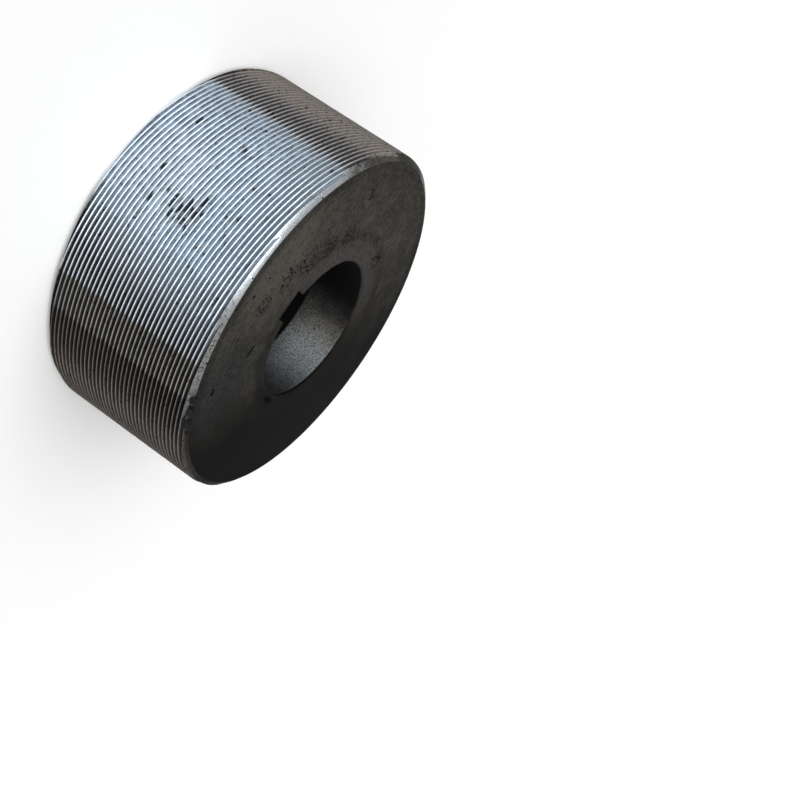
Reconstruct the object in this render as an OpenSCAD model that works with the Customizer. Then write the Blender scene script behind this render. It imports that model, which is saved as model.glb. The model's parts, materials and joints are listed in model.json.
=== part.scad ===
// Cylindrical thread rolling die: one ring of hardened tool steel with a multi-start thread ground into
// its outside, a keyed bore for the machine spindle and two flat end faces.
// The axis is Z. The die stands on its lower end face, centred on the origin, with the keyway at -Y.

/* [Screw that the die rolls] */
// Pitch of the screw's thread
thread_pitch = 1.75; // [1.25:0.25:2.5]
// Pitch diameter of the screw's thread
screw_pitch_d = 10.863; // [9:0.001:13]

/* [Thread on the die] */
// Number of starts, which is also how many times larger than the screw the die is
starts = 13; // [10:1:15]
// Angle between the two flanks of a ridge
flank_angle = 60; // [55:1:60]
// Width of the flat that is left on top of each ridge
crest_flat = 0.29; // [0.2:0.01:0.4]
// Angle from +X at which one ridge crosses the lower end face
first_start = 22.3; // [0:0.1:36]

/* [Blank] */
// Width of the die over its end faces
die_w = 62; // [40:1:80]
// Width of the chamfer at each outer edge, across the end face
edge_chamfer_w = 2.4; // [1.4:0.1:3.5]
// Height of that chamfer along the axis, over which the thread runs out
edge_chamfer_h = 1.7; // [1:0.1:3]

/* [Spindle bore] */
// Diameter of the bore
bore_d = 57.5; // [45:0.5:60]
// Leg of the chamfer at each mouth of the bore
bore_chamfer = 0.7; // [0.4:0.1:2]

/* [Keyway] */
// Width of the keyway
key_w = 12; // [8:1:16]
// Depth of the keyway, from the bore's wall to its floor
key_depth = 5.1; // [3:0.1:7]
// Radius in the two corners of the keyway's floor
key_corner_r = 0.5; // [0.2:0.1:1]

/* [Hidden] */

steel = [0.62, 0.64, 0.66];

// How far a cutting shape reaches past the face that it cuts
cut_over = 1;
// Segments of a drawn circle
$fn = 180;

// The die turns once for every whole number of turns of the screw, so their pitch diameters keep that ratio
pitch_r = starts * screw_pitch_d / 2;
// A sharp V of this pitch reaches as far above the pitch line as below it
sharp_height = thread_pitch / 4 / tan(flank_angle / 2);
ridge_height = sharp_height - crest_flat / 2 / tan(flank_angle / 2);
root_r = pitch_r - sharp_height;
sharp_r = pitch_r + sharp_height;
die_r = pitch_r + ridge_height;

// The thread form starts one and a half pitches below the die and ends past its upper face,
// so a ridge crosses the lower face exactly at the first column of points
thread_foot = -1.5 * thread_pitch;
ridges = ceil((die_w - thread_foot) / thread_pitch + 1.5);
// Points along each column: a root and a crest for every ridge, and one root to close
rows = 2 * ridges + 1;
// Columns of points for each start, as many as keep the thread near this number of triangles
thread_triangles = 9000;
steps = max(3, floor(thread_triangles / (4 * starts * ridges)));
columns = starts * steps;

// Point of one column and row: left-hand ridges fall by one pitch over the columns of a start
function thread_point(column, row) =
    let (
        turn = first_start + 360 * column / columns,
        r = row % 2 == 0 ? root_r : sharp_r,
        fall = thread_pitch * (column % steps) / steps
    )
    [r * cos(turn), r * sin(turn), thread_foot + thread_pitch * row / 2 - fall];

// Place of a point in the list, with the columns closed into a ring
function at(column, row) = (column % columns) * rows + row;

// Rows that a ridge shifts by on its way to the next column: one pitch at the end of each start
function row_shift(column) = column % steps == steps - 1 ? 2 : 0;

// Two triangles between neighbouring columns for every flank
function flank_faces() = [
    for (column = [0 : columns - 1])
        let (shift = row_shift(column))
        for (row = [shift : rows - 2])
            let (
                low = at(column, row),
                high = at(column, row + 1),
                next_low = at(column + 1, row - shift),
                next_high = at(column + 1, row - shift + 1)
            )
            each [[low, high, next_high], [low, next_high, next_low]]
];

// The lower and upper edges of the flanks, each a ring with one step of a pitch at every start
function lower_edge() = [
    for (column = [0 : columns - 1], row = [0 : row_shift(column)]) at(column, row)
];
function upper_edge() = [
    for (column = [0 : columns - 1], row = [rows - 1 - row_shift(column + steps - 1) : rows - 1])
        at(column, row)
];

// A fan of triangles from one point on the axis to a ring of points
function fan(centre, ring) = [
    for (i = [0 : len(ring) - 1]) [centre, ring[i], ring[(i + 1) % len(ring)]]
];
function reversed(faces) = [for (face = faces) [face[0], face[2], face[1]]];

// The thread before it is trimmed: sharp left-hand V ridges, longer than the die at both ends
module sharp_thread() {
    lower_tip = columns * rows;
    upper_tip = lower_tip + 1;
    polyhedron(
        points = concat(
            [for (column = [0 : columns - 1], row = [0 : rows - 1]) thread_point(column, row)],
            [[0, 0, thread_foot - 2 * thread_pitch], [0, 0, thread_foot + (ridges + 2) * thread_pitch]]
        ),
        faces = concat(
            flank_faces(),
            fan(lower_tip, lower_edge()),
            reversed(fan(upper_tip, upper_edge()))
        )
    );
}

// The turned blank: outside diameter, end faces, bore and their chamfers
module blank() {
    bore_r = bore_d / 2;
    mouth_r = bore_r + bore_chamfer;
    face_r = die_r - edge_chamfer_w;
    rotate_extrude()
        polygon([
            [bore_r, bore_chamfer],
            [mouth_r, 0],
            [face_r, 0],
            [die_r, edge_chamfer_h],
            [die_r, die_w - edge_chamfer_h],
            [face_r, die_w],
            [mouth_r, die_w],
            [bore_r, die_w - bore_chamfer]
        ]);
}

// Section of the keyway, from the axis out to its floor, with a radius in both corners of the floor
module keyway_section() {
    floor_y = bore_d / 2 + key_depth;
    half_w = key_w / 2 - key_corner_r;
    translate([-key_w / 2, -floor_y + key_corner_r])
        square([key_w, floor_y - key_corner_r]);
    translate([-half_w, -floor_y])
        square([2 * half_w, floor_y]);
    for (side = [-1, 1])
        translate([side * half_w, -floor_y + key_corner_r])
            circle(key_corner_r);
}

module keyway() {
    translate([0, 0, -cut_over])
        linear_extrude(die_w + 2 * cut_over)
            keyway_section();
}

module rolling_die() {
    color(steel)
        difference() {
            intersection() {
                blank();
                sharp_thread();
            }
            keyway();
        }
}

rolling_die();
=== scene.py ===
"""A worn cylindrical thread rolling die on a pale studio floor."""

import functools
import json
import logging
import math
from collections.abc import Iterable
from dataclasses import dataclass
from enum import Enum

import bmesh
import bpy
import numpy as np
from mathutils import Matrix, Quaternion, Vector, noise


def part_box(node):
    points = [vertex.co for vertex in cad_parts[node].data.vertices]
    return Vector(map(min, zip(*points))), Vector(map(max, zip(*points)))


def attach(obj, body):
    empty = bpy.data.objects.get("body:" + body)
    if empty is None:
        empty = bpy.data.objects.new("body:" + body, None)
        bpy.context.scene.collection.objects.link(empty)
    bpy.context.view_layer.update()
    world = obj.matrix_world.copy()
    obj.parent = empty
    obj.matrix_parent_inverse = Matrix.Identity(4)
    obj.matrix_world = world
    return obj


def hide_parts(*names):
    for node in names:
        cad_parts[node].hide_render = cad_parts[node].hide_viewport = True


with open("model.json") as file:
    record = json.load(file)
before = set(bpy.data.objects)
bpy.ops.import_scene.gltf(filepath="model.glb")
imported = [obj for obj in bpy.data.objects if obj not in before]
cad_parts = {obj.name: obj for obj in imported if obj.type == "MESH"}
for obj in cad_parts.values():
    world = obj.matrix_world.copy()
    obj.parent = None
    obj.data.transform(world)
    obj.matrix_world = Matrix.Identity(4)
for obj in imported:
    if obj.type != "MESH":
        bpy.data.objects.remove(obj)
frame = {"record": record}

MM = 0.001
FULL_TURN = 360.0
DEGREES = 180 / math.pi
NOISE_MIDDLE = 0.5
BUMP_STRENGTH = 0.6
CAD_NODE = "rolling_die"
ZONE_MARK = "zone"
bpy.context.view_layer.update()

log = logging.getLogger("rolling_die")

Colour = tuple[float, float, float]
Point = tuple[float, float, float]
# Values between which a soft step rises from 0 to 1; the first may be the larger one
Ramp = tuple[float, float]
# A patch on a surface: its middle in two coordinates, then its half sizes
Patch = tuple[float, float, float, float]

BLACK: Colour = (0.0, 0.0, 0.0)
WHITE: Colour = (1.0, 1.0, 1.0)
# Squared distances from the middle of a patch, in half sizes, over which it fades
PATCH_EDGE: Ramp = (1.0, 0.1)


class Zone(Enum):
    """Surfaces of the die that have their own finish, by material slot."""

    THREAD = 0
    RIM = 1
    END_FACE = 2
    BORE = 3
    KEYWAY = 4
    NICK = 5


class Cut(Enum):
    """Ways in which one solid shapes another, by Blender's names."""

    KEEP_INSIDE = "INTERSECT"
    TAKE_AWAY = "DIFFERENCE"


@dataclass(frozen=True)
class DieSizes:
    """Sizes of the die in millimetres; the outer ones, the bore and the keyway come from the frame."""

    die_w: float
    crest_r: float
    bore_r: float
    key_floor: float
    key_w: float = 12.0
    key_corner_r: float = 0.5
    chamfer_w: float = 2.4
    chamfer_h: float = 1.7
    bore_chamfer: float = 0.7
    pitch: float = 1.75
    starts: int = 13
    first_start: float = 22.3
    ridge_h: float = 1.264

    @classmethod
    def from_frame(cls) -> "DieSizes":
        """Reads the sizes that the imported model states.

        Returns:
            The sizes.
        """
        low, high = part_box(CAD_NODE)
        mounts = {mount["name"]: mount for mount in frame["record"]["mounts"]}
        return cls(
            die_w=(high[2] - low[2]) / MM,
            crest_r=(high[0] - low[0]) / 2 / MM,
            bore_r=mounts["bore"]["dims"]["r_mm"],
            key_floor=-mounts["keyway"]["pos_m"][1] / MM,
        )

    @property
    def face_r(self) -> float:
        """Outer radius of the end faces."""
        return self.crest_r - self.chamfer_w

    @property
    def mouth_r(self) -> float:
        """Inner radius of the end faces."""
        return self.bore_r + self.bore_chamfer

    @property
    def root_r(self) -> float:
        """Radius at the bottom of the grooves."""
        return self.crest_r - self.ridge_h


class Wire:
    """One output socket that takes part in arithmetic."""

    def __init__(self, board: "NodeBoard", socket: bpy.types.NodeSocket | None) -> None:
        """Keeps the socket and the board that its node stands on.

        Args:
            board: The board that adds the Math nodes.
            socket: The output socket, or None for a node without one.
        """
        self.board = board
        self.socket = socket

    def __add__(self, other: "Wire | float") -> "Wire":
        """Sum of the two values."""
        return self.board.math("ADD", self, other)

    def __radd__(self, other: float) -> "Wire":
        """Sum with the number on the left."""
        return self.board.math("ADD", other, self)

    def __sub__(self, other: "Wire | float") -> "Wire":
        """Difference of the two values."""
        return self.board.math("SUBTRACT", self, other)

    def __rsub__(self, other: float) -> "Wire":
        """Difference with the number on the left."""
        return self.board.math("SUBTRACT", other, self)

    def __mul__(self, other: "Wire | float") -> "Wire":
        """Product of the two values."""
        return self.board.math("MULTIPLY", self, other)

    def __rmul__(self, other: float) -> "Wire":
        """Product with the number on the left."""
        return self.board.math("MULTIPLY", other, self)

    def __truediv__(self, other: "Wire | float") -> "Wire":
        """Quotient of the two values."""
        return self.board.math("DIVIDE", self, other)

    def __rtruediv__(self, other: float) -> "Wire":
        """Quotient with the number on the left."""
        return self.board.math("DIVIDE", other, self)

    def __abs__(self) -> "Wire":
        """Value without its sign."""
        return self.board.math("ABSOLUTE", self)

    def fraction(self) -> "Wire":
        """Part of the value after its whole number."""
        return self.board.math("FRACT", self)

    def larger(self, other: "Wire | float") -> "Wire":
        """Larger of the two values."""
        return self.board.math("MAXIMUM", self, other)

    def step(self, low: float, high: float) -> "Wire":
        """Soft step from 0 at low to 1 at high.

        Args:
            low: Value where the step is still 0.
            high: Value where it has reached 1, which may be below low.

        Returns:
            The step, between 0 and 1.
        """
        return self.board.node(
            "ShaderNodeMapRange",
            {"interpolation_type": "SMOOTHSTEP"},
            {"Value": self, "From Min": low, "From Max": high},
        )


class NodeBoard:
    """A node tree that is filled from Python expressions."""

    def __init__(self, tree: bpy.types.NodeTree) -> None:
        """Empties the tree.

        Args:
            tree: Node tree of a material or of the world.
        """
        tree.nodes.clear()
        self.tree = tree

    def node(
        self,
        kind: str,
        settings: dict[str, object] | None = None,
        sockets: dict[str | int, object] | None = None,
        output: str | int = 0,
    ) -> Wire:
        """Adds one node.

        Args:
            kind: Blender's name of the node type.
            settings: Properties that are set first.
            sockets: Values, or wires to link, by socket name or number.
            output: Name or number of the output that is returned.

        Returns:
            The chosen output.
        """
        made = self.tree.nodes.new(kind)
        for name, value in (settings or {}).items():
            setattr(made, name, value)
        for name, value in (sockets or {}).items():
            if isinstance(value, Wire):
                self.tree.links.new(value.socket, made.inputs[name])
            else:
                made.inputs[name].default_value = value
        return Wire(self, made.outputs[output]) if made.outputs else Wire(self, None)

    def math(self, operation: str, *values: Wire | float) -> Wire:
        """Adds one Math node.

        Args:
            operation: Blender's name of the operation.
            values: Its values in order.

        Returns:
            The result.
        """
        return self.node(
            "ShaderNodeMath", {"operation": operation}, dict(enumerate(values))
        )

    def blend(
        self, share: Wire | float, first: Wire | Colour, second: Wire | Colour
    ) -> Wire:
        """Mixes two colours.

        Args:
            share: 0 for the first colour, 1 for the second.
            first: First colour.
            second: Second colour.

        Returns:
            The mixed colour.
        """
        first, second = (
            c if isinstance(c, Wire) else (*c, 1.0) for c in (first, second)
        )
        return self.node(
            "ShaderNodeMix",
            {"data_type": "RGBA"},
            {0: share, 6: first, 7: second},
            output=2,
        )

    def fade(
        self, share: Wire, first: Wire | float, second: Wire | float
    ) -> Wire:
        """Mixes two numbers, with 0 for the first and 1 for the second."""
        return first + share * (second - first)

    def cloud(
        self, place: Wire, scale: float, detail: float = 2.0, rough: float = 0.5
    ) -> Wire:
        """Adds smooth noise.

        Args:
            place: Position in millimetres.
            scale: Cells for each millimetre.
            detail: Finer layers on top.
            rough: Strength of the finer layers.

        Returns:
            The noise, mostly between 0.3 and 0.7.
        """
        return self.node(
            "ShaderNodeTexNoise",
            {"noise_dimensions": "3D"},
            {"Vector": place, "Scale": scale, "Detail": detail, "Roughness": rough},
        )

    def stretch(self, place: Wire, by: Point) -> Wire:
        """Scales a position by three factors."""
        return self.node(
            "ShaderNodeVectorMath", {"operation": "MULTIPLY"}, {0: place, 1: by}
        )

    def bump(self, height: Wire, distance: float) -> Wire:
        """Turns a height into a normal.

        Args:
            height: Height between 0 and 1.
            distance: Real height of 1, in metres.

        Returns:
            The normal.
        """
        return self.node(
            "ShaderNodeBump",
            {},
            {"Strength": BUMP_STRENGTH, "Distance": distance, "Height": height},
        )


class DiePlace:
    """Where a point lies on the die, in millimetres and degrees."""

    def __init__(self, board: NodeBoard) -> None:
        """Adds the nodes for position, radius, turn and height.

        Args:
            board: Board of the finish.
        """
        coords = board.node("ShaderNodeTexCoord", output="Object")
        self.mm = board.stretch(coords, (1 / MM,) * 3)
        split = board.node("ShaderNodeSeparateXYZ", {}, {0: self.mm})
        outputs = split.socket.node.outputs
        self.x, self.y, self.z = (Wire(board, o) for o in outputs)
        self.radius = board.math("SQRT", self.x * self.x + self.y * self.y)
        self.turn = board.math("ARCTAN2", self.y, self.x) * DEGREES

    def spot(self, patch: Patch) -> Wire:
        """Soft oval on the outside of the die, by angle and height."""
        return self.oval(self.turn, self.z, patch)

    def dot(self, patch: Patch) -> Wire:
        """Soft oval on an end face, by X and Y."""
        return self.oval(self.x, self.y, patch)

    @staticmethod
    def oval(first: Wire, second: Wire, patch: Patch) -> Wire:
        """Gives a soft oval mask.

        Args:
            first: Coordinate along the oval.
            second: Coordinate across it.
            patch: Its middle in both coordinates, then its half sizes.

        Returns:
            A mask that is 1 in the middle and 0 outside.
        """
        first_middle, second_middle, length, width = patch
        along = (first - first_middle) / length
        across = (second - second_middle) / width
        return (along * along + across * across).step(*PATCH_EDGE)


def finish_board(name: str) -> tuple[bpy.types.Material, NodeBoard]:
    """Makes a material with an empty node board.

    Args:
        name: Name of the material.

    Returns:
        The material and its board.
    """
    material = bpy.data.materials.new(name)
    material.use_nodes = True
    return material, NodeBoard(material.node_tree)


def join_masks(masks: Iterable[Wire]) -> Wire:
    """Joins masks into one that is everywhere as strong as the strongest."""
    return functools.reduce(Wire.larger, masks)


def close_finish(board: NodeBoard, sockets: dict[str, object]) -> None:
    """Ends a finish with its surface shader.

    Args:
        board: Board of the finish.
        sockets: Values and wires of the surface shader.
    """
    surface = board.node("ShaderNodeBsdfPrincipled", {}, sockets)
    board.node("ShaderNodeOutputMaterial", {}, {"Surface": surface})


@dataclass(frozen=True)
class ThreadFinish:
    """Ground thread: a painted reflection band of bright steel on one side, painted shade tinted like
    tarnished steel beside it, and dirty grooves darkened further by painted shade.
    """

    size: DieSizes
    # Colours of the painted reflection band, lighter on the crests
    bright: Colour = (0.55, 0.66, 0.78)
    band_crest_tone: Colour = (0.80, 0.88, 0.95)
    # Tints of the painted shade beside the band
    grey: Colour = (0.36, 0.35, 0.335)
    dark: Colour = (0.155, 0.143, 0.137)
    rusty: Colour = (0.22, 0.185, 0.157)
    brown: Colour = (0.265, 0.243, 0.214)
    purple: Colour = (0.28, 0.268, 0.27)
    # Dark colours of grime, also used for painted shade
    grime_and_shade: Colour = (0.018, 0.016, 0.015)
    slate: Colour = (0.030, 0.036, 0.046)
    # Drops below the crests, in millimetres, between which a flank turns into a crest
    crest_drop: Ramp = (0.38, 0.10)
    # Angles and heights at which the painted reflection band starts and ends
    start_turn: float = -130.8
    start_lean: float = 2.4
    start_blur: float = 1.4
    start_blur_rise: float = 0.04
    start_groove: Ramp = (-1.0, 1.0)
    start_crest: Ramp = (-1.8, 0.6)
    end_lean: float = 0.1
    end_low: Ramp = (26.0, 0.0)
    end_low_turn: float = 6.0
    end_step: Ramp = (-81.4, -82.4)
    end_fade: Ramp = (-62.0, -87.0)
    end_crest: Ramp = (-60.8, -62.2)
    dim_height: Ramp = (38.0, 60.0)
    far_start: Ramp = (62.0, 84.0)
    far_end: Ramp = (142.0, 118.0)
    band_hotspot: Patch = (-97.0, 18.0, 18.0, 22.0)
    # Angles of the stretches of painted shade beside the band, tinted like tarnished, rusty and brown
    # steel
    dark_start: Ramp = (-50.8, -49.2)
    rusty_start: Ramp = (-45.0, -26.0)
    darker_side_start: Ramp = (-38.0, -16.0)
    rusty_end: Ramp = (84.0, 62.0)
    groove_darkening_end: Ramp = (-34.0, -14.0)
    brown_start: Ramp = (-108.0, -122.0)
    brown_end: Ramp = (128.0, 150.0)
    brown_dark: Ramp = (-150.0, -164.0)
    purple_start: Ramp = (-146.0, -138.0)
    purple_end: Ramp = (-100.0, -120.0)
    foot_height: Ramp = (3.4, 1.6)
    # Levels of the noise that breaks up the finish
    break_level: Ramp = (0.54, 0.68)
    foot_level: Ramp = (0.36, 0.52)
    dash_level: Ramp = (0.32, 0.58)
    stroke_level: Ramp = (0.60, 0.76)
    speck_level: Ramp = (0.605, 0.655)
    # Shares of the pitch, from root to root, where the painted flank shade line and the strokes of
    # dirt lie
    line_start: Ramp = (0.10, 0.16)
    line_end: Ramp = (0.40, 0.27)
    stroke_start: Ramp = (0.04, 0.20)
    stroke_end: Ramp = (0.74, 0.50)
    # Strokes of dirt: angle, height and half sizes
    strokes: tuple[Patch, ...] = (
        (-92.2, 31.0, 6.0, 9.5),
        (-97.2, 35.2, 5.0, 2.2),
        (-99.0, 47.0, 1.8, 1.2),
        (-116.0, 35.8, 2.4, 1.2),
        (-116.0, 31.4, 2.4, 1.6),
        (-106.5, 30.0, 2.6, 2.0),
        (-91.0, 17.6, 2.2, 1.8),
        (-91.5, 13.3, 1.8, 1.0),
        (-116.0, 12.8, 2.0, 1.0),
        (-100.0, 15.5, 1.8, 1.0),
        (-85.0, 18.0, 2.2, 1.0),
        (104.0, 38.0, 4.0, 5.0),
    )

    def painted_band(self, board: NodeBoard, at: DiePlace, turn: Wire, crest: Wire) -> Wire:
        """Gives the share of the painted reflection band, with its own edges on the crests and a
        second band on the far side.

        Args:
            board: Board of the finish.
            at: Place on the die.
            turn: Angle with a ragged edge.
            crest: Mask of the crests.

        Returns:
            The share, between 0 and 1.
        """
        lean = at.z * (self.start_lean / self.size.die_w)
        blur = at.z * self.start_blur_rise + self.start_blur
        past = (turn - lean - self.start_turn) / blur
        earlier = turn - (at.z - self.size.die_w / 2) * self.end_lean
        earlier = earlier + at.z.step(*self.end_low) * self.end_low_turn
        end = turn.step(*self.end_step) * 0.2 + earlier.step(*self.end_fade) * 0.8
        groove = past.step(*self.start_groove) * end
        groove = groove * (1.0 - at.z.step(*self.dim_height) * 0.35)
        top = past.step(*self.start_crest) * turn.step(*self.end_crest)
        # A second painted reflection band on the far side
        far_side = turn.step(*self.far_start) * turn.step(*self.far_end)
        return board.fade(crest, groove, top).larger(far_side)

    def dirt_and_flank_shade(self, board: NodeBoard, at: DiePlace, crest: Wire, painted_band: Wire) -> Wire:
        """Gives a thin line of painted shade on one flank beside each crest, strongest in the painted
        reflection band, and dirty strokes and specks.

        Args:
            board: Board of the finish.
            at: Place on the die.
            crest: Mask of the crests.
            painted_band: Share of the painted reflection band.

        Returns:
            The share of painted shade and dirty marks, between 0 and 1.
        """
        climb = at.z / self.size.pitch
        gain = (at.turn - self.size.first_start) * (self.size.starts / FULL_TURN)
        phase = (climb + gain).fraction()
        dashes = board.cloud(board.stretch(at.mm, (0.3, 0.3, 0.9)), 1.0, detail=4.0, rough=0.7)
        # Painted shade: a dark line along one flank of each groove
        line = phase.step(*self.line_start) * phase.step(*self.line_end)
        line = line * (dashes.step(*self.dash_level) * 0.45 + 0.42) * (painted_band * 0.85 + 0.15)
        flecks = board.cloud(board.stretch(at.mm, (0.75, 0.75, 1.7)), 1.0, detail=4.0, rough=0.7)
        smear = board.cloud(board.stretch(at.mm, (0.26, 0.26, 0.62)), 1.0)
        in_groove = phase.step(*self.stroke_start) * phase.step(*self.stroke_end)
        patches = join_masks(at.spot(stroke) for stroke in self.strokes)
        ragged = smear + (flecks - NOISE_MIDDLE) * 0.7 + patches * 0.21
        stroke = ragged.step(*self.stroke_level) * in_groove
        specks = flecks.step(*self.speck_level) * (1.0 - crest) * 0.85
        return line.larger(stroke).larger(specks)

    def dull(self, board: NodeBoard, turn: Wire, crest: Wire, breaks: Wire) -> tuple[Wire, Wire]:
        """Gives the steel outside the painted reflection band: painted shade tinted like tarnished,
        rusty and brown steel, with a purple stretch at its edge.

        Args:
            board: Board of the finish.
            turn: Angle with a ragged edge.
            crest: Mask of the crests.
            breaks: Noise that breaks up the finish.

        Returns:
            Its colour, and the share that is matt.
        """
        # Painted shade: grey next to the band, dark beyond it, with a rusty tint further on that
        # darkens again
        shade_and_tarnish = board.blend(turn.step(*self.dark_start), self.grey, self.dark)
        rusty = turn.step(*self.rusty_start) * turn.step(*self.rusty_end)
        darker_side = turn.step(*self.darker_side_start) * turn.step(*self.rusty_end)
        rust = board.blend(darker_side * 0.5, self.rusty, self.grime_and_shade)
        shade_and_tarnish = board.blend(rusty, shade_and_tarnish, rust)
        browned = turn.step(*self.brown_start).larger(turn.step(*self.brown_end))
        purple = turn.step(*self.purple_start) * turn.step(*self.purple_end)
        # The brown side darkens further away from the band: painted shade
        brown = board.blend(turn.step(*self.brown_dark) * 0.4, self.brown, self.grime_and_shade)
        tone = board.blend(browned, shade_and_tarnish, board.blend(purple, brown, self.purple))
        tone = board.blend(breaks.step(*self.break_level) * 0.6, tone, self.grime_and_shade)
        # Grooves outside the band darkened by grime together with painted shade in the hollows
        open_side = 0.84 - turn.step(*self.groove_darkening_end) * 0.12
        groove_darkening = board.fade(browned, open_side, purple * 0.64 + 0.18)
        tone = board.blend((1.0 - crest) * groove_darkening, tone, self.grime_and_shade)
        return tone, browned.larger(darker_side)

    def material(self) -> bpy.types.Material:
        """Builds the finish.

        Returns:
            The material.
        """
        made, board = finish_board("worn_thread_steel")
        at = DiePlace(board)
        turn = at.turn + (board.cloud(at.mm, 0.3, detail=3.0) - NOISE_MIDDLE) * 2.4
        crest = at.radius.step(*(self.size.crest_r - drop for drop in self.crest_drop))
        painted_band = self.painted_band(board, at, turn, crest)
        # Painted reflection colour, lighter on the crests and in a painted highlight spot
        band_hotspot = at.spot(self.band_hotspot) * 0.4
        bright = board.blend(crest.larger(band_hotspot), self.bright, self.band_crest_tone)
        breaks = board.cloud(board.stretch(at.mm, (0.5, 0.5, 0.9)), 1.0, detail=3.0, rough=0.65)
        dull, matt = self.dull(board, turn, crest, breaks)
        dirt_and_flank_shade = self.dirt_and_flank_shade(board, at, crest, painted_band)
        # Colour of the painted flank shade and of the dirt
        shade_and_dirt_tone = board.blend(painted_band, self.grime_and_shade, self.slate)
        tone = board.blend(dirt_and_flank_shade, board.blend(painted_band, dull, bright), shade_and_dirt_tone)
        foot = at.z.step(*self.foot_height) * breaks.step(*self.foot_level)
        tone = board.blend(foot * (1.0 - painted_band * 0.7) * 0.8, tone, self.grime_and_shade)

        matt = matt * (1.0 - painted_band)
        grain = board.cloud(board.stretch(at.mm, (0.8, 0.8, 5.0)), 1.0)
        rough = board.fade(painted_band, 0.36, 0.24) + matt * 0.24 + dirt_and_flank_shade * 0.25
        close_finish(
            board,
            {
                "Base Color": tone,
                "Metallic": (1.0 - dirt_and_flank_shade * 0.9) * (1.0 - matt * 0.8),
                "Roughness": rough + (grain - NOISE_MIDDLE) * 0.12,
                "Specular IOR Level": 0.1,
                "Normal": board.bump(grain, 0.01 * MM),
            },
        )
        return made


@dataclass(frozen=True)
class RimFinish:
    """Edge chamfer: a painted reflection beside the painted reflection band of the thread, painted
    shade with an oily darkening on one side, mottled and worn elsewhere.
    """

    size: DieSizes
    bright: Colour = (0.88, 0.95, 1.0)
    grey: Colour = (0.30, 0.305, 0.305)
    dark: Colour = (0.13, 0.12, 0.112)
    brown: Colour = (0.085, 0.079, 0.067)
    grime_and_shade: Colour = (0.008, 0.007, 0.006)
    # Angles of the stretches: the painted reflection, brown, grey, the oily darkening with painted
    # shade, and the worn inner edge
    shine_start: Ramp = (-140.0, -116.0)
    shine_end: Ramp = (-76.0, -92.0)
    brown_start: Ramp = (-112.0, -132.0)
    brown_end: Ramp = (128.0, 150.0)
    grey_end: Ramp = (-36.0, -64.0)
    oil_and_shade_start: Ramp = (-40.0, -26.0)
    oil_and_shade_deep: Ramp = (-22.0, -8.0)
    oil_and_shade_end: Ramp = (150.0, 120.0)
    oil_and_shade_back: Ramp = (-150.0, -162.0)
    worn_start: Ramp = (-55.0, -50.0)
    worn_end: Ramp = (-12.0, -20.0)
    # Width of the worn inner edge and height of the darker lower chamfer, in millimetres
    worn_width: Ramp = (1.4, 0.8)
    lower_height: Ramp = (20.0, 10.0)
    # Levels of the noise that spots it
    dark_level: Ramp = (0.50, 0.62)
    light_level: Ramp = (0.42, 0.30)

    def material(self) -> bpy.types.Material:
        """Builds the finish.

        Returns:
            The material.
        """
        made, board = finish_board("chamfer_steel")
        at = DiePlace(board)
        turn = at.turn + (board.cloud(at.mm, 0.15, detail=3.0) - NOISE_MIDDLE) * 16.0
        # Painted reflection: bright steel over one stretch of the chamfer
        shine = turn.step(*self.shine_start) * turn.step(*self.shine_end)
        browned = turn.step(*self.brown_start).larger(turn.step(*self.brown_end))
        # Painted shade: grey next to the painted reflection, dark beyond it
        dull = board.blend(turn.step(*self.grey_end), self.dark, self.grey)
        dull = board.blend(browned, dull, self.brown)
        # Dark oil together with painted shade over one side and near the back
        dark_oil_and_shade = turn.step(*self.oil_and_shade_start) * 0.45 + turn.step(*self.oil_and_shade_deep) * 0.55
        dark_oil_and_shade = dark_oil_and_shade * turn.step(*self.oil_and_shade_end)
        dark_oil_and_shade = dark_oil_and_shade.larger(turn.step(*self.oil_and_shade_back) * 0.7)
        dull = board.blend(dark_oil_and_shade, dull, self.grime_and_shade)
        tone = board.blend(shine, dull, self.bright)
        spots = board.cloud(at.mm, 0.9, detail=5.0, rough=0.75)
        spotted = spots.step(*self.dark_level) * (0.8 - shine * 0.7)
        tone = board.blend(spotted, tone, self.grime_and_shade)
        lit = spots.step(*self.light_level) * (1.0 - dark_oil_and_shade) * 0.14
        tone = board.blend(lit, tone, self.bright)
        ragged = at.radius + (spots - NOISE_MIDDLE) * 4.0
        worn = ragged.step(*(self.size.face_r + width for width in self.worn_width))
        worn = worn * at.turn.step(*self.worn_start) * at.turn.step(*self.worn_end)
        tone = board.blend(worn * 0.75, tone, self.grime_and_shade)
        # The lower chamfer is darker, except in the painted reflection
        lower = at.z.step(*self.lower_height) * (1.0 - shine)
        tone = board.blend(lower * 0.8, tone, self.grime_and_shade)
        close_finish(
            board,
            {
                "Base Color": tone,
                "Metallic": (0.45 + shine * 0.5) * (1.0 - dark_oil_and_shade),
                "Roughness": 0.42 - shine * 0.16 + (spots - NOISE_MIDDLE) * 0.3 + dark_oil_and_shade * 0.2,
                "Specular IOR Level": 0.03,
                "Normal": board.bump(spots, 0.06 * MM),
            },
        )
        return made


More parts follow.
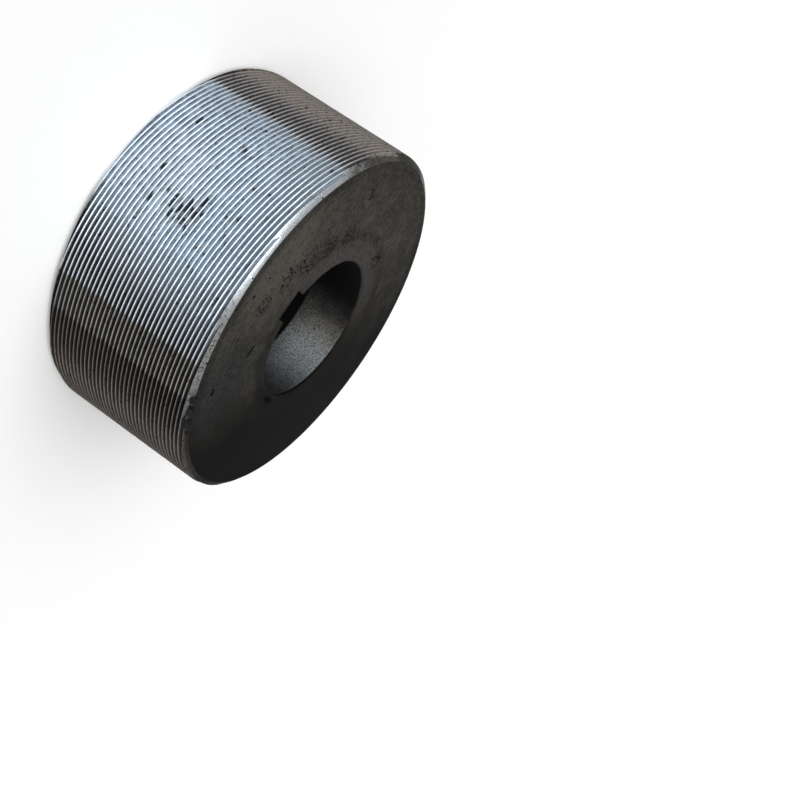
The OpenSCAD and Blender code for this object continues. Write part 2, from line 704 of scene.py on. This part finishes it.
@dataclass(frozen=True)
class FaceFinish:
    """End face: dull tarnished steel with specks and rub rings; one side is darkened by an oily film
    together with painted shade, the other side is lighter as a painted sheen.
    """

    size: DieSizes
    steel: Colour = (0.044, 0.041, 0.035)
    # Dark colour of the oil and of the painted shade, also used for dark marks
    dark_oil_and_shade: Colour = (0.0024, 0.0022, 0.002)
    pale: Colour = (0.092, 0.085, 0.072)
    collar: Colour = (0.072, 0.066, 0.066)
    slate: Colour = (0.021, 0.023, 0.026)
    pit: Colour = (0.003, 0.0025, 0.002)
    # Way across the face along which the dark oil and painted shade get deeper, and the distances over
    # which they do
    oil_and_shade_way: tuple[float, float] = (0.74, 0.67)
    oil_and_shade_depth: Ramp = (-40.0, 38.0)
    # Distances from the mouth of the bore, from the outer edge and from the axis along X
    collar_width: Ramp = (7.4, 4.2)
    collar_side: Ramp = (6.0, -18.0)
    ring_middle: float = 10.5
    ring_width: Ramp = (3.2, 1.0)
    ring_side: Ramp = (-6.0, -26.0)
    edge_width: Ramp = (5.4, 2.6)
    dim_side: Ramp = (-38.0, -62.0)
    # Levels of the noise that clouds, rubs, grains and pits it
    cloud_level: Ramp = (0.36, 0.70)
    ring_light: Ramp = (0.50, 0.66)
    ring_dark: Ramp = (0.48, 0.34)
    wear_level: Ramp = (0.38, 0.58)
    grain_dark: Ramp = (0.42, 0.66)
    grain_light: Ramp = (0.46, 0.30)
    mottle_dark: Ramp = (0.50, 0.66)
    mottle_light: Ramp = (0.47, 0.32)
    pit_level: Ramp = (0.62, 0.68)
    stain_level: Ramp = (0.72, 0.86)
    # Patches: middle along X and Y, and half sizes
    rubbed_outside: Patch = (-9.0, -57.0, 26.0, 13.0)
    rubbed_inside: Patch = (-9.0, -46.0, 14.0, 9.0)
    slated: Patch = (38.0, -44.0, 26.0, 24.0)
    specked: tuple[Patch, ...] = (
        (-32.0, -25.6, 6.0, 6.0),
        (-24.0, -34.0, 7.0, 6.0),
        (-15.5, -41.5, 9.0, 8.0),
        (-6.0, -47.2, 9.0, 7.0),
        (5.2, -50.6, 7.0, 5.0),
        (-48.0, -29.6, 4.0, 4.0),
        (-35.2, 10.4, 5.0, 6.0),
    )
    dark_spots: tuple[Patch, ...] = (
        (20.5, -38.2, 4.2, 1.1),
        (5.9, -60.8, 1.0, 0.8),
        (20.0, -52.0, 0.8, 0.7),
        (-2.0, -59.0, 0.7, 0.7),
        # A dark crescent beside the mouth of the bore
        (31.6, 0.5, 1.7, 6.5),
        (39.4, -44.1, 1.5, 1.2),
        (38.2, -45.0, 1.2, 0.8),
    )

    def rub_rings(self, board: NodeBoard, at: DiePlace) -> Wire:
        """Gives noise that is drawn out into rings around the bore.

        Args:
            board: Board of the finish.
            at: Place on the die.

        Returns:
            The noise.
        """
        sweep = board.node(
            "ShaderNodeCombineXYZ",
            {},
            {0: at.radius * 0.8, 1: at.x / at.radius * 1.5, 2: at.y / at.radius * 1.5},
        )
        return board.cloud(sweep, 1.0, detail=3.0, rough=0.6)

    def worn(self, at: DiePlace, clouds: Wire) -> Wire:
        """Gives the dark wear: a ring around the bore, the outer edge and one side.

        Args:
            at: Place on the die.
            clouds: Noise that breaks up the ring.

        Returns:
            The share of wear, between 0 and 1.
        """
        ring = abs(at.radius - self.size.mouth_r - self.ring_middle).step(*self.ring_width)
        ring = ring * at.x.step(*self.ring_side) * clouds.step(*self.wear_level) * 0.55
        edge = at.radius.step(*(self.size.face_r - width for width in self.edge_width)) * 0.4
        return ring.larger(edge).larger(at.x.step(*self.dim_side) * 0.28)

    def material(self) -> bpy.types.Material:
        """Builds the finish.

        Returns:
            The material.
        """
        made, board = finish_board("tarnished_face_steel")
        at = DiePlace(board)
        large = board.cloud(at.mm, 0.045, detail=3.0)
        clouds = board.cloud(at.mm, 0.17, detail=4.0, rough=0.6)
        grain = board.cloud(at.mm, 1.5, detail=3.0, rough=0.65)
        mottle = board.cloud(at.mm, 0.6, detail=3.0, rough=0.6)
        fine = board.cloud(at.mm, 1.15, detail=4.0, rough=0.7)
        # Dark oil together with painted shade over one side; the other side keeps the lighter base
        # colour as a painted sheen
        slope = at.x * self.oil_and_shade_way[0] + at.y * self.oil_and_shade_way[1]
        oil_and_shade = (slope + (large - NOISE_MIDDLE) * 40.0).step(*self.oil_and_shade_depth)
        outside_oil_and_shade = 1.0 - oil_and_shade
        rings = self.rub_rings(board, at)
        collar = at.radius + (clouds - NOISE_MIDDLE) * 4.0
        collar = collar.step(*(self.size.mouth_r + width for width in self.collar_width))
        layers = (
            (oil_and_shade, self.dark_oil_and_shade),
            (clouds.step(*self.cloud_level) * outside_oil_and_shade * 0.5, self.pale),
            (at.dot(self.rubbed_outside) * 0.75, self.pale),
            (at.dot(self.rubbed_inside) * 0.5, self.pale),
            (at.dot(self.slated) * 0.5, self.slate),
            (rings.step(*self.ring_light) * outside_oil_and_shade * 0.1, self.pale),
            (rings.step(*self.ring_dark) * 0.1, self.dark_oil_and_shade),
            (collar * 0.45, self.dark_oil_and_shade),
            (collar * at.x.step(*self.collar_side) * outside_oil_and_shade * 0.7, self.collar),
            (self.worn(at, clouds), self.dark_oil_and_shade),
            (grain.step(*self.grain_dark) * 0.28, self.dark_oil_and_shade),
            (grain.step(*self.grain_light) * outside_oil_and_shade * 0.22, self.pale),
            (mottle.step(*self.mottle_dark) * outside_oil_and_shade * 0.34, self.dark_oil_and_shade),
            (mottle.step(*self.mottle_light) * outside_oil_and_shade * 0.30, self.pale),
        )
        tone = self.steel
        for share, colour in layers:
            tone = board.blend(share, tone, colour)
        specked = join_masks(at.dot(patch) for patch in self.specked)
        dark_spots = join_masks(at.dot(patch) for patch in self.dark_spots)
        pits = (fine + specked * 0.125).step(*self.pit_level)
        pits = pits.larger((grain + dark_spots * 0.5).step(*self.stain_level))
        close_finish(
            board,
            {
                "Base Color": board.blend(pits, tone, self.pit),
                "Metallic": 0.0,
                "Roughness": 0.55 + (grain - NOISE_MIDDLE) * 0.2 + pits * 0.2,
                "Specular IOR Level": 0.015,
                "Normal": board.bump(grain * 0.5 - pits, 0.08 * MM),
            },
        )
        return made


@dataclass(frozen=True)
class BoreFinish:
    """Bore: satin steel with a fine matt grain; painted light on one side of the wall near each end,
    and painted shadow deeper in and on the other sides.
    """

    size: DieSizes
    steel: Colour = (0.85, 0.92, 0.96)
    warm: Colour = (0.88, 0.85, 0.79)
    stain_and_shadow: Colour = (0.013, 0.012, 0.012)
    # Angles over which the painted light on the wall starts and ends, and over which the steel turns
    # warm
    glow_start: Ramp = (-6.0, 80.0)
    glow_end: Ramp = (142.0, 74.0)
    warm_start: Ramp = (76.0, 98.0)
    # Depths in millimetres: where the painted light gives way to painted shadow, and over which it
    # brightens towards the mouth
    lit_depth: Ramp = (21.7, 20.7)
    bright_depth: Ramp = (22.0, 12.0)
    grain_level: Ramp = (0.44, 0.60)

    def material(self) -> bpy.types.Material:
        """Builds the finish.

        Returns:
            The material.
        """
        made, board = finish_board("satin_bore_steel")
        at = DiePlace(board)
        half_w = self.size.die_w / 2
        grain = board.cloud(at.mm, 1.8, detail=4.0, rough=0.75)
        large = board.cloud(at.mm, 0.14, detail=3.0)
        turn = at.turn + (large - NOISE_MIDDLE) * 18.0
        depth = half_w - abs(at.z - half_w) + (grain - NOISE_MIDDLE) * 0.6
        glow = turn.step(*self.glow_start) * turn.step(*self.glow_end)
        glow = glow * glow * (0.6 + depth.step(*self.bright_depth) * 0.4) + 0.02
        steel = board.blend(turn.step(*self.warm_start), self.steel, self.warm)
        # Painted light on one side of the wall near each end, painted shadow elsewhere
        tone = board.blend(glow * depth.step(*self.lit_depth), self.stain_and_shadow, steel)
        tone = board.blend(grain.step(*self.grain_level) * 0.72, tone, self.stain_and_shadow)
        close_finish(
            board,
            {
                "Base Color": tone,
                "Metallic": 0.85,
                "Roughness": 0.46 + (grain - NOISE_MIDDLE) * 0.2,
                "Specular IOR Level": 0.1,
                "Normal": board.bump(grain, 0.02 * MM),
            },
        )
        return made


@dataclass(frozen=True)
class RoughFinish:
    """Dark, rough steel of broken edges and of the keyway."""

    name: str
    deep: Colour
    worn: Colour

    def material(self) -> bpy.types.Material:
        """Builds the finish.

        Returns:
            The material.
        """
        made, board = finish_board(self.name)
        grain = board.cloud(DiePlace(board).mm, 3.0)
        close_finish(
            board,
            {
                "Base Color": board.blend(grain, self.deep, self.worn),
                "Metallic": 0.3,
                "Roughness": 0.5 + grain * 0.3,
                "Specular IOR Level": 0.1,
            },
        )
        return made


@dataclass(frozen=True)
class FloorFinish:
    """Pale studio floor that shows white and keeps the die's shadow."""

    tone: Colour = (0.86, 0.86, 0.86)
    near: float = 0.20
    far: float = 0.36
    # Distances from the die, in millimetres, over which near turns into far
    spread: Ramp = (1800.0, 2600.0)

    def material(self) -> bpy.types.Material:
        """Builds the finish.

        Returns:
            The material.
        """
        made, board = finish_board("pale_floor")
        at = DiePlace(board)
        path = board.node("ShaderNodeLightPath").socket.node.outputs
        rays = ("Is Camera Ray", "Is Glossy Ray", "Is Transmission Ray")
        seen = join_masks(Wire(board, path[name]) for name in rays)
        level = board.fade(at.radius.step(*self.spread), self.near, self.far)
        close_finish(
            board,
            {
                "Base Color": (*self.tone, 1.0),
                "Roughness": 0.8,
                "Specular IOR Level": 0.1,
                "Emission Color": board.blend(seen * level, BLACK, WHITE),
                "Emission Strength": 1.0,
            },
        )
        return made


def new_solid(
    name: str, points: list[Point], faces: list[tuple[int, ...]], zones: list[Zone]
) -> bpy.types.Object:
    """Makes a closed mesh object with its faces turned outwards.

    Args:
        name: Name of the object.
        points: Corners in millimetres.
        faces: Corners of each face.
        zones: Zone of each face.

    Returns:
        The object, in the scene.
    """
    mesh = bpy.data.meshes.new(name)
    mesh.from_pydata([tuple(MM * c for c in p) for p in points], [], faces)
    marks = mesh.attributes.new(ZONE_MARK, "INT", "FACE")
    marks.data.foreach_set("value", [zone.value for zone in zones])
    shape = bmesh.new()
    shape.from_mesh(mesh)
    bmesh.ops.recalc_face_normals(shape, faces=shape.faces)
    shape.to_mesh(mesh)
    shape.free()
    made = bpy.data.objects.new(name, mesh)
    bpy.context.scene.collection.objects.link(made)
    return made


def revolve(
    name: str, rings: list[list[tuple[float, float]]], zones: list[Zone]
) -> bpy.types.Object:
    """Makes a body of revolution from one outline for each angle.

    Args:
        name: Name of the object.
        rings: Outlines of (radius, height), spread evenly over a turn.
        zones: Zone of each stretch of the outline, which is closed if they are as many as its points.

    Returns:
        The object, in the scene.
    """
    count, size = len(rings), len(rings[0])
    points = []
    for number, ring in enumerate(rings):
        turn = 2 * math.pi * number / count
        points += [(r * math.cos(turn), r * math.sin(turn), z) for r, z in ring]
    faces = []
    for number in range(count):
        here, there = number * size, (number + 1) % count * size
        for k in range(len(zones)):
            n = (k + 1) % size
            faces.append((here + k, there + k, there + n, here + n))
    return new_solid(name, points, faces, zones * count)


@dataclass
class ThreadForm:
    """Left-hand multi-start V thread, longer than the die at both ends."""

    size: DieSizes
    shoulder_drop: float = 0.161
    edge_drop: float = 0.031
    shoulder_share: float = 0.136
    edge_share: float = 0.075
    columns_per_start: int = 26
    # Pitches by which the thread starts below the die and ends above it, and height of its end cones
    over_run: float = 1.5
    cone: int = 2
    # Wear of the crests in millimetres, the share of it at their shoulders, and the dents
    wear: float = 0.035
    wear_power: int = 3
    shoulder_wear: float = 0.35
    dents: int = 150
    dent_least: float = 0.03
    dent_spread: float = 0.16
    seed: int = 12

    def outline(self) -> list[tuple[float, float]]:
        """Gives the ridge over one pitch.

        Returns:
            Share of the pitch and radius of each point, from a root over a rounded crest.
        """
        crest_r = self.size.crest_r
        shoulder, edge = crest_r - self.shoulder_drop, crest_r - self.edge_drop
        return [
            (0.0, self.size.root_r),
            (0.5 - self.shoulder_share, shoulder),
            (0.5 - self.edge_share, edge),
            (0.5, crest_r),
            (0.5 + self.edge_share, edge),
            (0.5 + self.shoulder_share, shoulder),
        ]

    def worn(self, radius: np.ndarray, ridges: int) -> np.ndarray:
        """Wears and dents the crests.

        Args:
            radius: Radius by column, ridge and outline point.
            ridges: Number of ridges in a column.

        Returns:
            The radius after wear.
        """
        draw = np.random.default_rng(self.seed)
        columns = radius.shape[0]
        loss = self.wear * draw.random((columns, ridges)) ** self.wear_power
        for _ in range(self.dents):
            column, ridge = draw.integers(columns), draw.integers(ridges)
            loss[column, ridge] += self.dent_least + self.dent_spread * draw.random() ** 2
        crest = np.array([0.0, self.shoulder_wear, 1.0, 1.0, 1.0, self.shoulder_wear])
        return radius - loss[:, :, None] * crest

    def build(self) -> bpy.types.Object:
        """Builds the thread.

        Returns:
            The thread as one closed solid.
        """
        outline, pitch = self.outline(), self.size.pitch
        size, steps = len(outline), self.columns_per_start
        columns = self.size.starts * steps
        foot = -self.over_run * pitch
        ridges = math.ceil((self.size.die_w - foot) / pitch + self.over_run)
        rows = size * ridges + 1
        shares = np.array([s for s, _ in outline])
        base = np.array([r for _, r in outline])
        radius = self.worn(np.tile(base, (columns, ridges, 1)), ridges)
        radius = np.concatenate(
            [radius.reshape(columns, -1), np.full((columns, 1), self.size.root_r)], axis=1
        )
        height = (np.arange(ridges)[:, None] + shares).ravel()
        height = foot + pitch * np.append(height, ridges)
        points = []
        for column in range(columns):
            turn = math.radians(self.size.first_start + FULL_TURN * column / columns)
            fall = pitch * (column % steps) / steps
            points += zip(
                radius[column] * math.cos(turn),
                radius[column] * math.sin(turn),
                height - fall,
            )
        tips = len(points)
        points += [
            (0, 0, foot - self.cone * pitch),
            (0, 0, foot + (ridges + self.cone) * pitch),
        ]
        faces, lower, upper = [], [], []
        for column in range(columns):
            here, there = column * rows, (column + 1) % columns * rows
            shift = size if column % steps == steps - 1 else 0
            for k in range(shift, rows - 1):
                n = there + k - shift
                faces.append((here + k, n, n + 1, here + k + 1))
            lower += [here + k for k in range(shift + 1)]
            back = size if column % steps == 0 else 0
            upper += [here + k for k in range(rows - 1 - back, rows)]
        faces += [(tips, b, a) for a, b in zip(lower, lower[1:] + lower[:1])]
        faces += [(tips + 1, a, b) for a, b in zip(upper, upper[1:] + upper[:1])]
        return new_solid("thread_form", points, faces, [Zone.THREAD] * len(faces))


@dataclass(frozen=True)
class Nick:
    """One place where a knock has broken an edge; length is along the edge, in widths."""

    turn: float
    radius: float
    size: float
    height: float
    length: float = 1.0


@dataclass
class RollingDie:
    """The die: a threaded ring with chamfered edges, a bore and a keyway."""

    size: DieSizes
    segments: int = 720
    # Rounding of the edges, its share at the mouth of the bore, and small chips of the outer edge
    edge_round: float = 0.12
    mouth_round: float = 0.7
    chip: float = 0.10
    chip_power: int = 6
    seed: int = 5
    # Distance that the chamfer runs on past the crests, and a cutter past the face that it cuts
    clear: float = 0.4
    cut_over: float = 1.0
    corner_steps: int = 4
    # Roughness of the nicks
    lump: float = 0.5
    lumps_per_mm: float = 1.7
    ball_level: int = 2
    sharp_angle: float = 36.0

    def nicks(self) -> list[Nick]:
        """Lists the nicks.

        Returns:
            Nicks of the upper edge, then of the lower edge.
        """
        edge, top = self.size.face_r, self.size.die_w
        return [
            Nick(-50.2, edge + 0.3, 1.50, top - 0.1, 1.2),
            Nick(-46.6, edge + 0.3, 1.70, top - 0.1, 1.4),
            Nick(-41.4, edge + 0.3, 1.60, top - 0.1, 1.6),
            Nick(-37.6, edge + 0.2, 1.10, top - 0.1, 1.3),
            Nick(-62.5, edge + 0.1, 0.40, top - 0.10),
            Nick(-88.5, edge + 0.4, 0.40, top - 0.20),
            Nick(-118.0, edge + 0.2, 0.40, top - 0.10),
            Nick(34.0, edge + 0.3, 0.80, 0.2),
            Nick(121.0, edge + 0.3, 0.70, 0.2),
            Nick(165.0, edge + 0.3, 0.80, 0.2),
        ]

    def blank(self) -> bpy.types.Object:
        """Builds the turned blank that trims the thread.

        Returns:
            The blank as a closed ring.
        """
        draw = np.random.default_rng(self.seed)
        size, soft = self.size, self.edge_round
        mouth = soft * self.mouth_round
        over = size.crest_r + self.clear
        slant = size.chamfer_h / size.chamfer_w
        rings = []
        for _ in range(self.segments):
            chip = self.chip * draw.random() ** self.chip_power
            half = [
                (size.bore_r, size.bore_chamfer),
                (size.mouth_r - mouth, mouth),
                (size.mouth_r + soft, 0.0),
                (size.face_r - soft - chip, 0.0),
                (size.face_r + soft, soft * slant),
                (over, (over - size.face_r) * slant),
            ]
            rings.append(half + [(r, size.die_w - z) for r, z in reversed(half)])
        end = [Zone.END_FACE] * 3 + [Zone.RIM] * 2
        zones = end + [Zone.THREAD] + end[::-1] + [Zone.BORE]
        return revolve("turned_blank", rings, zones)

    def keyway(self) -> bpy.types.Object:
        """Builds the cutter of the keyway.

        Returns:
            The cutter, longer than the die.
        """
        half, corner = self.size.key_w / 2, self.size.key_corner_r
        section = [(half, 0.0)]
        for k in range(self.corner_steps + 1):
            turn = math.pi / 2 * k / self.corner_steps
            section.append(
                (
                    half - corner + corner * math.cos(turn),
                    -self.size.key_floor + corner - corner * math.sin(turn),
                )
            )
        section += [(-x, y) for x, y in reversed(section)]
        count = len(section)
        ends = (-self.cut_over, self.size.die_w + self.cut_over)
        points = [(x, y, z) for z in ends for x, y in section]
        faces = [tuple(range(count)), tuple(range(count, 2 * count))]
        for k in range(count):
            n = (k + 1) % count
            faces.append((k, n, count + n, count + k))
        return new_solid("keyway_cutter", points, faces, [Zone.KEYWAY] * len(faces))

    def nick_cutter(self) -> bpy.types.Object:
        """Builds the small rough balls that break the edges.

        Returns:
            All the balls as one object.
        """
        points, faces = [], []
        for nick in self.nicks():
            turn = math.radians(nick.turn)
            out = Vector((math.cos(turn), math.sin(turn), 0.0))
            along = Vector((-out.y, out.x, 0.0))
            middle = out * nick.radius + Vector((0.0, 0.0, nick.height))
            ball = bmesh.new()
            bmesh.ops.create_icosphere(ball, subdivisions=self.ball_level, radius=nick.size)
            first = len(points)
            for vert in ball.verts:
                lump = 1.0 + self.lump * noise.noise(vert.co * self.lumps_per_mm + middle)
                longer = along * vert.co.dot(along) * (nick.length - 1.0)
                points.append(tuple((vert.co + longer) * lump + middle))
            faces += [tuple(first + v.index for v in face.verts) for face in ball.faces]
            ball.free()
        return new_solid("nick_cutter", points, faces, [Zone.NICK] * len(faces))

    def build(self) -> bpy.types.Object:
        """Builds the die from its thread, blank and cutters.

        Returns:
            The die as one closed mesh.
        """
        body = ThreadForm(self.size).build()
        steps = (
            (self.blank(), Cut.KEEP_INSIDE),
            (self.keyway(), Cut.TAKE_AWAY),
            (self.nick_cutter(), Cut.TAKE_AWAY),
        )
        for tool, cut in steps:
            step = body.modifiers.new(cut.name.lower(), "BOOLEAN")
            step.operation = cut.value
            step.solver = "MANIFOLD"
            step.object = tool
        view = bpy.context.evaluated_depsgraph_get()
        mesh = bpy.data.meshes.new_from_object(body.evaluated_get(view))
        mesh.name = "die_body"
        for leftover in (body, *(tool for tool, _ in steps)):
            bpy.data.objects.remove(leftover)
        die = bpy.data.objects.new("die_body", mesh)
        bpy.context.scene.collection.objects.link(die)
        mesh.shade_smooth()
        mesh.set_sharp_from_angle(angle=math.radians(self.sharp_angle))
        return die

    def dress(self, die: bpy.types.Object) -> None:
        """Gives each surface its finish.

        Args:
            die: The die's mesh object.
        """
        finishes = {
            Zone.THREAD: ThreadFinish(self.size),
            Zone.RIM: RimFinish(self.size),
            Zone.END_FACE: FaceFinish(self.size),
            Zone.BORE: BoreFinish(self.size),
            # The keyway is painted near-black: painted shade in the slot
            Zone.KEYWAY: RoughFinish(
                "stained_keyway_steel", deep=(0.005, 0.0045, 0.004), worn=(0.017, 0.0155, 0.014)
            ),
            Zone.NICK: RoughFinish(
                "broken_edge_steel", deep=(0.010, 0.010, 0.011), worn=(0.028, 0.029, 0.031)
            ),
        }
        die.data.materials.clear()
        for zone in Zone:
            die.data.materials.append(finishes[zone].material())
        marks = die.data.attributes[ZONE_MARK].data
        for face, mark in zip(die.data.polygons, marks):
            face.material_index = mark.value
            face.use_smooth = mark.value != Zone.END_FACE.value


@dataclass
class Studio:
    """Floor, lamp, world and camera."""

    floor_hole: float = 0.001
    floor_middle: float = 800.0
    floor_r: float = 2000.0
    wall_r: float = 900.0
    wall_top: float = 1060.0
    wall_steps: int = 12
    floor_segments: int = 96
    world_level: float = 0.24
    lamp_power: float = 3.1
    lamp_spread: float = 88.0
    lamp_turn: float = -105.0
    lamp_rise: float = 44.0
    lens: float = 48.505
    shift: tuple[float, float] = (-0.05, 0.10)
    eye: Point = (21.656, -380.438, 205.537)
    aim: Point = (19.391, -7.121, 134.617)
    roll: float = 124.884
    clip_start: float = 0.01

    def floor(self) -> bpy.types.Object:
        """Builds a round floor that turns up into a low wall.

        Returns:
            The floor.
        """
        outline = [(r, 0.0) for r in (self.floor_hole, self.floor_middle, self.floor_r)]
        for k in range(1, self.wall_steps + 1):
            turn = math.pi / 2 * k / self.wall_steps
            outline.append(
                (
                    self.floor_r + self.wall_r * math.sin(turn),
                    self.wall_r * (1 - math.cos(turn)),
                )
            )
        outline.append((self.floor_r + self.wall_r, self.wall_top))
        # The floor has one finish, so which zone its faces are marked with makes no difference
        zones = [Zone.THREAD] * (len(outline) - 1)
        made = revolve("floor", [outline] * self.floor_segments, zones)
        mesh = made.data
        mesh.flip_normals()
        mesh.shade_smooth()
        mesh.materials.append(FloorFinish().material())
        return made

    def lamp(self) -> bpy.types.Object:
        """Hangs the wide soft lamp, turned to the die.

        Returns:
            The lamp.
        """
        light = bpy.data.lights.new("soft_lamp", "SUN")
        light.angle = math.radians(self.lamp_spread)
        light.energy = self.lamp_power
        made = bpy.data.objects.new("soft_lamp", light)
        bpy.context.scene.collection.objects.link(made)
        turn, rise = math.radians(self.lamp_turn), math.radians(self.lamp_rise)
        way = Vector(
            (
                math.cos(rise) * math.cos(turn),
                math.cos(rise) * math.sin(turn),
                math.sin(rise),
            )
        )
        made.location = way
        made.rotation_euler = way.to_track_quat("Z", "Y").to_euler()
        made.visible_camera = False
        return made

    def world(self) -> None:
        """Sets the even light of the room."""
        made = bpy.data.worlds.new("room")
        made.use_nodes = True
        bpy.context.scene.world = made
        board = NodeBoard(made.node_tree)
        glow = board.node(
            "ShaderNodeBackground",
            {},
            {"Color": (*WHITE, 1.0), "Strength": self.world_level},
        )
        board.node("ShaderNodeOutputWorld", {}, {"Surface": glow})

    def camera(self) -> bpy.types.Object:
        """Places the camera where the photograph was taken from.

        Returns:
            The camera.
        """
        data = bpy.data.cameras.new("main_camera")
        data.lens = self.lens
        data.shift_x, data.shift_y = self.shift
        data.clip_start = self.clip_start
        made = bpy.data.objects.new("main_camera", data)
        bpy.context.scene.collection.objects.link(made)
        eye = Vector(self.eye)
        way = (Vector(self.aim) - eye).to_track_quat("-Z", "Y")
        roll = Quaternion((0.0, 0.0, 1.0), math.radians(self.roll))
        made.location = eye * MM
        made.rotation_euler = (way @ roll).to_euler()
        bpy.context.scene.camera = made
        return made

    def build(self) -> None:
        """Sets up the whole studio."""
        for made in (self.floor(), self.lamp(), self.camera()):
            log.info("studio: %s", made.name)
        self.world()
        bpy.context.scene.view_settings.view_transform = "Standard"


def main() -> None:
    """Builds the die and the studio."""
    logging.basicConfig(level=logging.INFO, format="%(name)s: %(message)s")
    plan = RollingDie(DieSizes.from_frame())
    die = plan.build()
    plan.dress(die)
    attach(die, "root")
    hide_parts(CAD_NODE)
    log.info("%s: %d faces", die.name, len(die.data.polygons))
    Studio().build()


if __name__ == "__main__":
    main()
